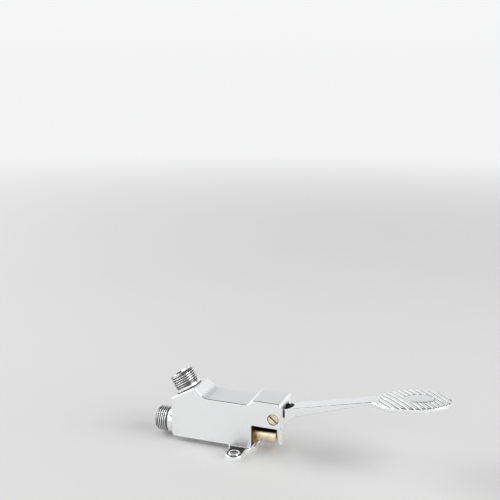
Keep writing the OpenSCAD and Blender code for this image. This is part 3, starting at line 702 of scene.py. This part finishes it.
def nipple(name, node, spigot_l, collar_t, ledge, wide_r, centre, axis, material):
    """A threaded nipple with its collar, bored through, with a wider bore up to its ledge."""
    top = WASHER + collar_t
    end = top + PITCH / 2 + TURNS * PITCH
    profile = [(wide_r, -spigot_l, 0),
               (SPIGOT_R - LEAD_IN, -spigot_l, 0), (SPIGOT_R, LEAD_IN - spigot_l, 0), (SPIGOT_R, WASHER, 0),
               (COLLAR_R - COLLAR_EASE, WASHER, 0), (COLLAR_R, WASHER + COLLAR_EASE, 0),
               (COLLAR_R, top - COLLAR_ROUND, 0), (COLLAR_R - COLLAR_ROUND / 3, top - COLLAR_ROUND / 3, 0),
               (COLLAR_R - COLLAR_ROUND, top, 0),
               (ROOT_R + THREAD_FOOT, top, 0), (ROOT_R, top + THREAD_FILLET, 0)]
    profile += thread_rows(top + THREAD_FOOT, end - THREAD_END, ROOT_R, ROWS_PER_TURN, PITCH)
    profile += [(ROOT_R - THREAD_END, end, 0), (BORE_R + MOUTH, end, 0), (BORE_R, end - MOUTH, 0)]
    if wide_r > BORE_R:
        profile += [(BORE_R, ledge, 0), (wide_r, ledge, 0)]
    piece = spun(name, profile, material, closed=True)
    run_tree(piece, THREAD, {"Root": ROOT_R * MM, "Crest": CREST_R * MM, "Pitch": PITCH * MM,
                             "Start": (top + THREAD_FOOT) * MM, "End": (end - RUN_OUT) * MM,
                             "Finish": material})
    crease(piece)
    aim = Vector(axis).to_track_quat("Z", "Y").to_matrix().to_4x4()
    piece.data.transform(Matrix.Translation(Vector(centre) * MM) @ aim)
    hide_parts(node)
    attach(piece, "valve")


nipple_finish = chrome_plate("chrome_turned", dull=0.13, polished=0.07, strokes=(400.0, 400.0, 400.0))
nipple("inlet_nipple_cut", "inlet_nipple", spigot_l=10, collar_t=4.4, ledge=LEDGE, wide_r=WIDE_BORE_R,
       centre=(REAR_X, 0, AXIS_Z), axis=(-1, 0, 0), material=nipple_finish)
nipple("outlet_nipple_cut", "outlet_nipple", spigot_l=8, collar_t=2, ledge=0, wide_r=BORE_R,
       centre=OUTLET_PLACE, axis=OUTLET_WAY, material=nipple_finish)
dress("inlet_gasket", fibre)
dress("outlet_gasket", fibre)

# The gland: a brass nut screwed flush into the window's wall, which guides and seals the plunger.
# It has two spanner holes, a fibre washer at its inner end and two rubber rings in its bore.
SPANNER_Y = 7.6
SPANNER_REACH = 1.0
RING_SEAT_R = 8.6
GLAND_ROUND = 0.2
SPANNER_ROUND = 0.1
# A box of painted shade on the gland's upper part, under the hood.
GLAND_TOP_SHADE = ((5.0, -13.0, 12.0), (14.0, 13.0, 26.0), 5.0)
BLACK_RUBBER = (0.018, 0.018, 0.019, 1)
MATT_RUBBER = (0.04, 0.04, 0.042, 1)


def gland_round(x, y, z):
    """A small round on the gland's corners, smaller on its spanner holes and none inside its bore."""
    if x < WINDOW_X - 1 and math.hypot(y, z - AXIS_Z) < RING_SEAT_R:
        return 0.0
    at_hole = abs(abs(y) - SPANNER_Y) < SPANNER_REACH and abs(z - AXIS_Z) < SPANNER_REACH
    return SPANNER_ROUND if at_hole else GLAND_ROUND


# The gland carries painted shade at its top and towards the window's wall.
gland_brass = turned_brass("brass_gland", ON_AXIS, turn=0, bright_at=40, dull_at=8, shade_boxes=[GLAND_TOP_SHADE])
gland = rounded("gland_nut_turned", "gland_nut", [(LEFT_RIGHT, ON_AXIS, UP_DOWN)], gland_brass,
                GLAND_ROUND, gland_round, steps=2)
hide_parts("gland_nut")
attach(gland, "valve")
rubber = clouded("black_rubber", {"Metallic": 0.0, "Specular IOR Level": 0.4}, (BLACK_RUBBER, MATT_RUBBER),
                 tone_cloud=(300.0, 0.0, 1.0), rough_cloud=(2500.0, 0.5, 0.7), strength=0.2, depth=0.03)
dress("gland_gasket", fibre)
dress("stem_ring_inner", rubber)
dress("stem_ring_outer", rubber)

# The plunger: a brass push rod with a domed tip, a thin stem through the seat and a threaded tail.
# Its tail carries the rubber disc, the cup behind it, and the washer and nut that hold them.
ROD_R = 6.25
ROD_BACK_X = -8.5
ROD_EASE = 0.3
STEM_R = 2.5
STEM_BACK_X = -35.52
TIP_X = 29.5
TIP_EASE = 0.25
DOME_R = 14.0
DOME_STEPS = 8
TAIL_R = 2.0
TAIL_BLANK_R = 1.7
TAIL_POINT_R = 1.65
TAIL_ROOT_R = 1.6
TAIL_PITCH = 0.7
TAIL_ROWS_PER_TURN = 8
TAIL_LEAD = 0.1
TAIL_THREAD_X = -41.4
TAIL_END_X = round(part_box("plunger")[0].x / MM, 3)
# A box of painted reflection of the hood's dark underside on the rod's top.
ROD_TOP_REFLECTION = ((6.0, -7.0, 15.4), (32.0, 7.0, 24.0), 1.8)
CLEAN_STEEL = (0.6, 0.61, 0.63, 1)
STAINED_STEEL = (0.45, 0.44, 0.43, 1)


def dome_rows():
    """The domed tip, from its eased rim to the middle."""
    rim = math.asin((ROD_R - TIP_EASE) / DOME_R)
    rows = []
    for step in range(DOME_STEPS + 1):
        angle = rim * (1 - step / DOME_STEPS)
        rows.append((DOME_R * math.sin(angle), TIP_X - DOME_R + DOME_R * math.cos(angle), 0))
    return rows


# The plunger carries a painted reflection on its top and painted shade towards the window's wall.
plunger_brass = turned_brass("brass_plunger", ON_AXIS, turn=0, bright_at=20, dull_at=6, shade_boxes=[ROD_TOP_REFLECTION])
rod_edge_x = TIP_X - DOME_R + math.sqrt(DOME_R ** 2 - ROD_R ** 2)
plunger_profile = [(0, TAIL_END_X, 0), (TAIL_POINT_R, TAIL_END_X, 0),
                   (TAIL_BLANK_R, TAIL_END_X + TAIL_LEAD, 0)]
plunger_profile += thread_rows(TAIL_END_X + 2 * TAIL_LEAD, TAIL_THREAD_X, TAIL_BLANK_R,
                               TAIL_ROWS_PER_TURN, TAIL_PITCH)
plunger_profile += [(TAIL_R, TAIL_THREAD_X + 2 * TAIL_LEAD, 0), (TAIL_R, STEM_BACK_X, 0),
                    (STEM_R, STEM_BACK_X, 0), (STEM_R, ROD_BACK_X, 0), (ROD_R - ROD_EASE, ROD_BACK_X, 0),
                    (ROD_R, ROD_BACK_X + ROD_EASE, 0), (ROD_R, rod_edge_x - ROD_EASE, 0)]
plunger_profile += dome_rows()
plunger = spun("plunger_turned", plunger_profile, plunger_brass, closed=False)
run_tree(plunger, THREAD, {"Root": TAIL_ROOT_R * MM, "Crest": TAIL_R * MM, "Pitch": TAIL_PITCH * MM,
                           "Start": (TAIL_END_X + TAIL_LEAD) * MM, "End": (TAIL_THREAD_X + TAIL_LEAD) * MM,
                           "Finish": plunger_brass})
crease(plunger)
plunger.data.transform(Matrix.Translation((0, 0, AXIS_Z * MM)) @ Matrix.Rotation(math.radians(90), 4, "Y"))
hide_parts("plunger")
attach(plunger, "plunger")
steel = clouded("drawn_steel", {"Metallic": 1.0}, (CLEAN_STEEL, STAINED_STEEL),
                tone_cloud=(140.0, 0.0, 0.6), rough_cloud=(1800.0, 0.2, 0.42), strength=0.1, depth=0.03)
dress("valve_disc", rubber)
dress("disc_cup", bore_brass)
dress("lock_washer", steel)
dress("disc_nut", bore_brass)

# The return spring: drawn stainless wire, coiled with closed ends, between the inlet nipple's
# ledge and the cup. The real one shortens as the plunger is pushed back; here it is one fixed coil that moves with
# the plunger.
SPRING_R = 5.4
WIRE_R = 0.6
WIRE_STEPS = 241
WIRE_SIDES = 14
COILS = 6
CLOSED_PITCH = 2.1
END_GAP = 0.01
CUP_BACK_X = round(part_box("disc_cup")[0].x / MM, 3)
SPRING_START_X = REAR_X - LEDGE + WIRE_R + END_GAP
SPRING_LEAD = CUP_BACK_X - WIRE_R - END_GAP - SPRING_START_X


def spring_tree():
    """A wire wound round X, with a closed coil at each end."""
    tree, given, out = new_maker("wind_spring", ["Coil radius", "Wire radius", "Length", "Coils",
                                                 "Axis height", "Start"])
    line = put(tree, "GeometryNodeCurvePrimitiveLine")
    wire = put(tree, "GeometryNodeResampleCurve", {"Curve": line.outputs[0], "Count": WIRE_STEPS})
    share = tree.nodes.new("GeometryNodeSplineParameter").outputs["Factor"]
    end_turn = sum_up(tree, "DIVIDE", 1.0, given["Coils"])
    last_turn = sum_up(tree, "SUBTRACT", 1.0, end_turn)
    closed = sum_up(tree, "MULTIPLY", given["Wire radius"], CLOSED_PITCH)
    open_l = sum_up(tree, "SUBTRACT", given["Length"], sum_up(tree, "MULTIPLY", closed, 2.0))
    first = scaled(tree, share, (0.0, end_turn), (0.0, closed))
    middle = scaled(tree, share, (end_turn, last_turn), (0.0, open_l))
    last = scaled(tree, share, (last_turn, 1.0), (0.0, closed))
    rise = sum_up(tree, "ADD", sum_up(tree, "ADD", first, middle), last)
    along = sum_up(tree, "ADD", rise, given["Start"])
    angle = sum_up(tree, "MULTIPLY", sum_up(tree, "MULTIPLY", share, given["Coils"]), 2 * math.pi)
    side = sum_up(tree, "MULTIPLY", sum_up(tree, "COSINE", angle), given["Coil radius"])
    up = sum_up(tree, "MULTIPLY", sum_up(tree, "SINE", angle), given["Coil radius"])
    spot = put(tree, "ShaderNodeCombineXYZ", {"X": along, "Y": side,
                                              "Z": sum_up(tree, "ADD", up, given["Axis height"])})
    wound = put(tree, "GeometryNodeSetPosition", {"Geometry": wire.outputs[0], "Position": spot.outputs[0]})
    section = put(tree, "GeometryNodeCurvePrimitiveCircle", {"Resolution": WIRE_SIDES,
                                                             "Radius": given["Wire radius"]})
    tube = put(tree, "GeometryNodeCurveToMesh", {"Curve": wound.outputs[0],
                                                 "Profile Curve": section.outputs[0], "Fill Caps": True})
    close_tree(tree, tube.outputs[0], given, out)
    return tree


spring = link_up(bpy.data.objects.new("return_spring_coil", bpy.data.meshes.new("return_spring_coil")))
run_tree(spring, spring_tree(), {"Coil radius": SPRING_R * MM, "Wire radius": WIRE_R * MM,
                                 "Length": SPRING_LEAD * MM, "Coils": float(COILS),
                                 "Axis height": AXIS_Z * MM, "Start": SPRING_START_X * MM,
                                 "Finish": steel})
for face in spring.data.polygons:
    face.use_smooth = len(face.vertices) == 4
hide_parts("return_spring")
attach(spring, "plunger")
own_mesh(spring)

# The pedal lever: hub, short arm, long arm and treaded pad, cast in one piece and chrome plated.
# The pad is crowned, its rim is rounded, and cast ridges cross it round a smooth oval.
ARM_HALF = 7.0
ARM_LIFT = 5.8
ARM_RISE = math.tan(math.radians(13.2))
ROOT_X = 44.5
ROOT_T = 7.2
ROOT_Z = PIVOT_Z + ARM_LIFT + ARM_RISE * (ROOT_X - PIVOT_X) - ROOT_T
NECK_X = 103.0
NECK_Z = PIVOT_Z + ARM_LIFT + ARM_RISE * (NECK_X - PIVOT_X)
NECK_T = 2.6
NECK_BLEND = 6.0
PAD_T = 4.0
PAD_RISE = math.tan(math.radians(11))
PAD_CROWN = 385.0
PAD_MID_X = 135.0
PAD_HALF = 20.0
PAD_BACK = 30.0
PAD_FRONT = 28.0
PAD_DOME = 0.7
PAD_DOME_X = (104, 120)
RIDGE_PITCH = 4.0
RIDGE_TURN = math.radians(50)
RIDGE_CROWN = 0.2
RIDGE_TOP = (1.2, 2.0)
RIDGE_RUB = 0.7
TREAD_X = (108.5, 112)
GROOVE = 0.85
GROOVE_SIDE = (0.3, 1.0)
# Painted shade in the tread's grooves, from a given depth down.
GROOVE_SHADE = 0.75
SHADE_DEPTH = 0.25
RING = 0.3
RING_OUT = 0.45
RING_SIDE = (0.15, 0.75)
OVAL_X = 139.5
OVAL_A = 11.0
OVAL_B = 7.5
OVAL_EDGE = (0.1, 0.8)
ARM_ROUND = 0.6
ARM_RUB = 1.5
PAD_ROUND_MORE = 0.7
PAD_ROUND_X = (98, 112)
LOW_ROUND_MORE = 0.4
LOW_ROUND_X = (50, 75)
NOSE_ROUND = 0.2
HUB_HOLE = 5.0
HUB_ROUND = 0.15
# A box of painted shade on the hub inside the slot.
HUB_SHADE = ((18.0, -9.0, PIVOT_Z), (36.6, 9.0, 44.0), 0.8)
DISH_X = 32.27
DISH_Z = 50.61
DISH_R = 13.96
# The dish's value on the hollow mask: a painted dark reflection of the slot on the arm's top.
DISH_REFLECTION = 1.6
ROUGH_CUT_X = 60.0
CRANK_END_X = 47.0
JOIN_X = 48.0
FAN_X = 118.0
CORE_X = 151.0
CELL = 0.36
FINE_STEPS = 800
ARM_STEPS = 22
TOP_ROWS = 63
RIM_ROWS = 7
LOW_RIM_ROWS = 5
LOW_ROWS = 8


def ease(limits, value):
    """0 before the first limit, 1 after the second, smooth between."""
    start, end = limits
    t = min(1.0, max(0.0, (value - start) / (end - start)))
    return t * t * (3 - 2 * t)


def lever_top(x):
    """The height of the lever's top along its middle."""
    if x < NECK_X:
        return PIVOT_Z + ARM_LIFT + ARM_RISE * (x - PIVOT_X)
    return NECK_Z + PAD_RISE * (x - NECK_X) - (x - NECK_X) ** 2 / (2 * PAD_CROWN)


def lever_low(x):
    """The height of the lever's underside along its middle."""
    if x < NECK_X:
        share = (x - ROOT_X) / (NECK_X - ROOT_X)
        return ROOT_Z + (NECK_Z - NECK_T - ROOT_Z) * share
    return lever_top(x) - min(PAD_T, NECK_T + (PAD_T - NECK_T) * (x - NECK_X) / (PAD_BACK / 2))


def pad_half(x):
    """Half the pad's width: the arm runs smoothly into the oval."""
    u = (x - PAD_MID_X) / PAD_BACK
    over = (PAD_HALF * math.sqrt(max(0.0, 1 - u * u)) - ARM_HALF) / NECK_BLEND
    if over > 1:
        return ARM_HALF + over * NECK_BLEND
    return ARM_HALF + NECK_BLEND * max(0.0, over + 1) ** 2 / 4


def pad_dome(x, y):
    """How far the pad's face rises across its width."""
    if x > PAD_MID_X:
        out = ((x - PAD_MID_X) / PAD_FRONT) ** 2 + (y / PAD_HALF) ** 2
    else:
        out = (y / pad_half(x)) ** 2
    return PAD_DOME * ease(PAD_DOME_X, x) * max(0.0, 1 - out)


def tread(x, y):
    """How far the tread is cut below the pad's face, and how near a place is to a ridge's crown."""
    across = (x - PAD_MID_X) * math.sin(RIDGE_TURN) + y * math.cos(RIDGE_TURN)
    step = across / RIDGE_PITCH + 0.5
    off = abs(step - round(step)) * RIDGE_PITCH
    ox = x - OVAL_X
    rho = math.hypot(ox / OVAL_A, y / OVAL_B)
    slope = math.hypot(ox / OVAL_A ** 2, y / OVAL_B ** 2)
    out = (rho - 1) * rho / slope if slope > 1e-9 else -OVAL_B
    begun = ease(TREAD_X, x)
    ridged = begun * ease(OVAL_EDGE, out)
    groove = (1 - ease(GROOVE_SIDE, off)) * ridged
    ring = (1 - ease(RING_SIDE, abs(out - RING_OUT))) * begun
    crown = RIDGE_CROWN * ridged * (1 - (off / (RIDGE_PITCH / 2)) ** 2)
    return max(GROOVE * groove + crown * (1 - groove), RING * ring), ridged * ease(RIDGE_TOP, off)


def outline():
    """Points round the near half of the lever, from its join to the pad's tip, even round the pad."""
    rough = []
    for i in range(FINE_STEPS + 1):
        x = NECK_X + (PAD_MID_X - NECK_X) * i / FINE_STEPS
        rough.append((x, -pad_half(x)))
    for i in range(1, FINE_STEPS + 1):
        angle = math.radians(-90 + 90 * i / FINE_STEPS)
        rough.append((PAD_MID_X + PAD_FRONT * math.cos(angle), PAD_HALF * math.sin(angle)))
    lengths = [0.0]
    for (x0, y0), (x1, y1) in zip(rough, rough[1:]):
        lengths.append(lengths[-1] + math.hypot(x1 - x0, y1 - y0))
    count = round(lengths[-1] / CELL)
    points = [(JOIN_X + (NECK_X - JOIN_X) * i / ARM_STEPS, -ARM_HALF) for i in range(ARM_STEPS)]
    at = 0
    for i in range(count + 1):
        wanted = lengths[-1] * i / count
        while at < len(lengths) - 2 and lengths[at + 1] < wanted:
            at += 1
        share = (wanted - lengths[at]) / (lengths[at + 1] - lengths[at])
        points.append(tuple(a + (b - a) * share for a, b in zip(rough[at], rough[at + 1])))
    return points


def lever_columns():
    """For each place round the lever: its rim point, its place on the middle line, and its reach."""
    rim = outline()
    turn = next(i for i, (x, y) in enumerate(rim) if x > FAN_X)
    columns = []
    for i, (x, y) in enumerate(rim):
        core = x
        if i > turn:
            core = rim[turn][0] + (CORE_X - rim[turn][0]) * (i - turn) / (len(rim) - 1 - turn)
        before = rim[max(0, i - 1)]
        after = rim[min(len(rim) - 1, i + 1)]
        tx, ty = after[0] - before[0], after[1] - before[1]
        if i == len(rim) - 1:
            tx, ty = 0.0, 1.0
        size = math.hypot(tx, ty)
        reach = abs((x - core) * ty / size - y * tx / size)
        columns.append((x, y, core, reach))
    return columns


def column_path(x, y, core, reach, side):
    """One line over the lever, from the middle of its top round the rim to the middle below."""
    top_round = ARM_ROUND + PAD_ROUND_MORE * ease(PAD_ROUND_X, x)
    low_round = ARM_ROUND + LOW_ROUND_MORE * ease(LOW_ROUND_X, x)
    path = []

    def place(inset, upper):
        share = min(1.0, inset / reach)
        px, py = x + (core - x) * share, side * y * (1 - share)
        radius = top_round if upper else low_round
        short = max(0.0, radius - inset)
        drop = radius - math.sqrt(max(0.0, radius ** 2 - short ** 2))
        edge = min(1.0, ARM_RUB * short / radius)
        if not upper:
            path.append((px, py, lever_low(px) + drop, edge, 0.0))
            return
        cut, crown = tread(px, py)
        # Painted shade in the grooves, carried on the hollow mask.
        groove_shade = GROOVE_SHADE * cut / GROOVE if cut > max(drop, SHADE_DEPTH) else 0.0
        height = lever_top(px) + pad_dome(px, py) - max(cut, drop)
        path.append((px, py, height, max(edge, RIDGE_RUB * crown), min(1.0, groove_shade)))

    for row in range(TOP_ROWS - RIM_ROWS):
        place(reach + (top_round - reach) * row / (TOP_ROWS - RIM_ROWS), True)
    for row in range(RIM_ROWS):
        place(top_round * (1 - math.sin(math.radians(90 * row / (RIM_ROWS - 1)))), True)
    for row in range(LOW_RIM_ROWS):
        place(low_round * (1 - math.cos(math.radians(90 * row / (LOW_RIM_ROWS - 1)))), False)
    for row in range(1, LOW_ROWS + 1):
        place(low_round + (reach - low_round) * row / LOW_ROWS, False)
    return path


def cut_off(skin, x):
    """Takes away what lies beyond a place along the lever."""
    bmesh.ops.bisect_plane(skin, geom=skin.verts[:] + skin.edges[:] + skin.faces[:],
                           plane_co=(x * MM, 0, 0), plane_no=LEFT_RIGHT, clear_outer=True)


def zip_rings(skin, ring, other):
    """Joins two open rings of points that run round the same section."""
    def by_angle(points):
        heights = [p.co.z for p in points]
        middle = (min(heights) + max(heights)) / 2
        return sorted((math.atan2(p.co.z - middle, p.co.y), i, p) for i, p in enumerate(points))
    one, two = by_angle(ring), by_angle(other)
    i = j = 0
    while i < len(one) or j < len(two):
        a, b = one[i % len(one)], two[j % len(two)]
        next_a = one[(i + 1) % len(one)]
        next_b = two[(j + 1) % len(two)]
        turn_a = next_a[0] + (2 * math.pi if i + 1 >= len(one) else 0)
        turn_b = next_b[0] + (2 * math.pi if j + 1 >= len(two) else 0)
        if j >= len(two) or (i < len(one) and turn_a <= turn_b):
            skin.faces.new((a[2], next_a[2], b[2]))
            i += 1
        else:
            skin.faces.new((a[2], next_b[2], b[2]))
            j += 1


def lever_round(x, y, z):
    """The round on the crank's edges."""
    if math.hypot(x - PIVOT_X, z - PIVOT_Z) < HUB_HOLE:
        return HUB_ROUND
    return ARM_ROUND if abs(y) > ARM_HALF - 0.1 else NOSE_ROUND


def in_dish(point):
    """Whether a point lies on the ball that the hollow in the arm's top is cut with."""
    x, y, z = point.co / MM
    return abs(math.hypot(x - DISH_X, y, z - DISH_Z) - DISH_R) < 0.02


# The crank keeps the CAD's shape, with rounded edges and a sharp rim to its dish.
# The lever's finish carries painted shade on its hub inside the slot.
lever_finish = chrome_plate("chrome_pedal", dull=0.42, polished=0.09, strokes=(60.0, 900.0, 900.0),
                            shade_boxes=[HUB_SHADE])
crank_skin = welded("pedal_lever", [(NEAR_FAR, (PIVOT_X, 0, 0), LEFT_RIGHT)])
cut_off(crank_skin, ROUGH_CUT_X)
weigh_edges(crank_skin, ARM_ROUND, lever_round)
for edge in crank_skin.edges:
    sides = [all(in_dish(point) for point in face.verts) for face in edge.link_faces]
    if True in sides and False in sides:
        edge.smooth = False
lever = as_piece("pedal", crank_skin, lever_finish)
round_edges(lever, ARM_ROUND)

# The arm and the pad are a fine net of lines over the lever, joined to the crank's cut end.
lever_skin = bmesh.new()
lever_skin.from_mesh(lever.data)
cut_off(lever_skin, CRANK_END_X)
edge_layer = lever_skin.faces.layers.float["edge"]
hollow_layer = lever_skin.verts.layers.float.new("hollow")
# Points all round the dish get a painted dark reflection through the hollow mask.
for point in lever_skin.verts:
    round_it = [other for face in point.link_faces for other in face.verts]
    point[hollow_layer] = DISH_REFLECTION if all(in_dish(other) for other in round_it) else 0.0
near_columns = lever_columns()
paths = [column_path(*column, 1) for column in near_columns]
paths += [column_path(*column, -1) for column in reversed(near_columns[:-1])]
rows = []
for path in paths:
    row = []
    for x, y, z, edge, hollow in path:
        point = lever_skin.verts.new((x * MM, y * MM, z * MM))
        point[hollow_layer] = hollow
        row.append((point, edge))
    rows.append(row)
for row, following in zip(rows, rows[1:]):
    for k in range(len(row) - 1):
        corners = (row[k], following[k], following[k + 1], row[k + 1])
        face = lever_skin.faces.new([point for point, edge in corners])
        face[edge_layer] = 0.0 if k == TOP_ROWS - 1 else sum(edge for point, edge in corners) / 4
pad_points = [point for row in rows for point, edge in row]
bmesh.ops.remove_doubles(lever_skin, verts=pad_points, dist=1e-6)
crank_ring = [p for p in lever_skin.verts if abs(p.co.x - CRANK_END_X * MM) < 1e-7]
pad_ring = [p for p in lever_skin.verts if abs(p.co.x - JOIN_X * MM) < 1e-7]
known = len(lever_skin.faces)
zip_rings(lever_skin, crank_ring, pad_ring)
lever_skin.faces.ensure_lookup_table()
for face in lever_skin.faces[known:]:
    out = abs(face.calc_center_median().y) / MM
    face[edge_layer] = 1.0 if ARM_HALF - ARM_ROUND < out < ARM_HALF - 0.01 else 0.0
bmesh.ops.recalc_face_normals(lever_skin, faces=lever_skin.faces)
bpy.data.objects.remove(lever)
lever = as_piece("pedal", lever_skin, lever_finish)
lever.modifiers.new("flats", "WEIGHTED_NORMAL").keep_sharp = True
settle(lever)
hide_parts("pedal_lever")
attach(lever, "pedal")

# The pivot: a slotted brass shoulder screw through both cheeks, with a brass bush pressed into
# the lever's hub and a nylon washer on either side of it.
HEAD_Y = -10.0
HEAD_ROUND = 0.2
SHANK_ROUND = 0.12
# A box of painted shadow on the screw head's sides in its counterbore.
HEAD_SIDES_SHADE = ((20.0, -13.15, 22.0), (36.0, -9.0, 42.0), 0.3)
WHITE_NYLON = (0.8, 0.78, 0.71, 1)
CREAM_NYLON = (0.73, 0.71, 0.63, 1)


def screw_round(x, y, z):
    """A small round on the screw's corners, larger on its head."""
    return HEAD_ROUND if y < HEAD_Y else SHANK_ROUND


# The screw carries painted shadow on its head's sides.
screw_brass = turned_brass("brass_screw", (PIVOT_X, 0, PIVOT_Z), turn=90, bright_at=-15, dull_at=60,
                           shade_boxes=[HEAD_SIDES_SHADE])
screw = rounded("pivot_screw_slotted", "pivot_screw", [(NEAR_FAR, (0, 0, PIVOT_Z), UP_DOWN)], screw_brass,
                HEAD_ROUND, screw_round, steps=2)
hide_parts("pivot_screw")
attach(screw, "valve")
nylon = clouded("nylon", {"Metallic": 0.0, "Specular IOR Level": 0.45}, (WHITE_NYLON, CREAM_NYLON),
                tone_cloud=(220.0, 0.0, 1.0), rough_cloud=(900.0, 0.38, 0.52), strength=0.1, depth=0.03)
dress("pivot_bush", screw_brass)
dress("washer_near", nylon)
dress("washer_far", nylon)
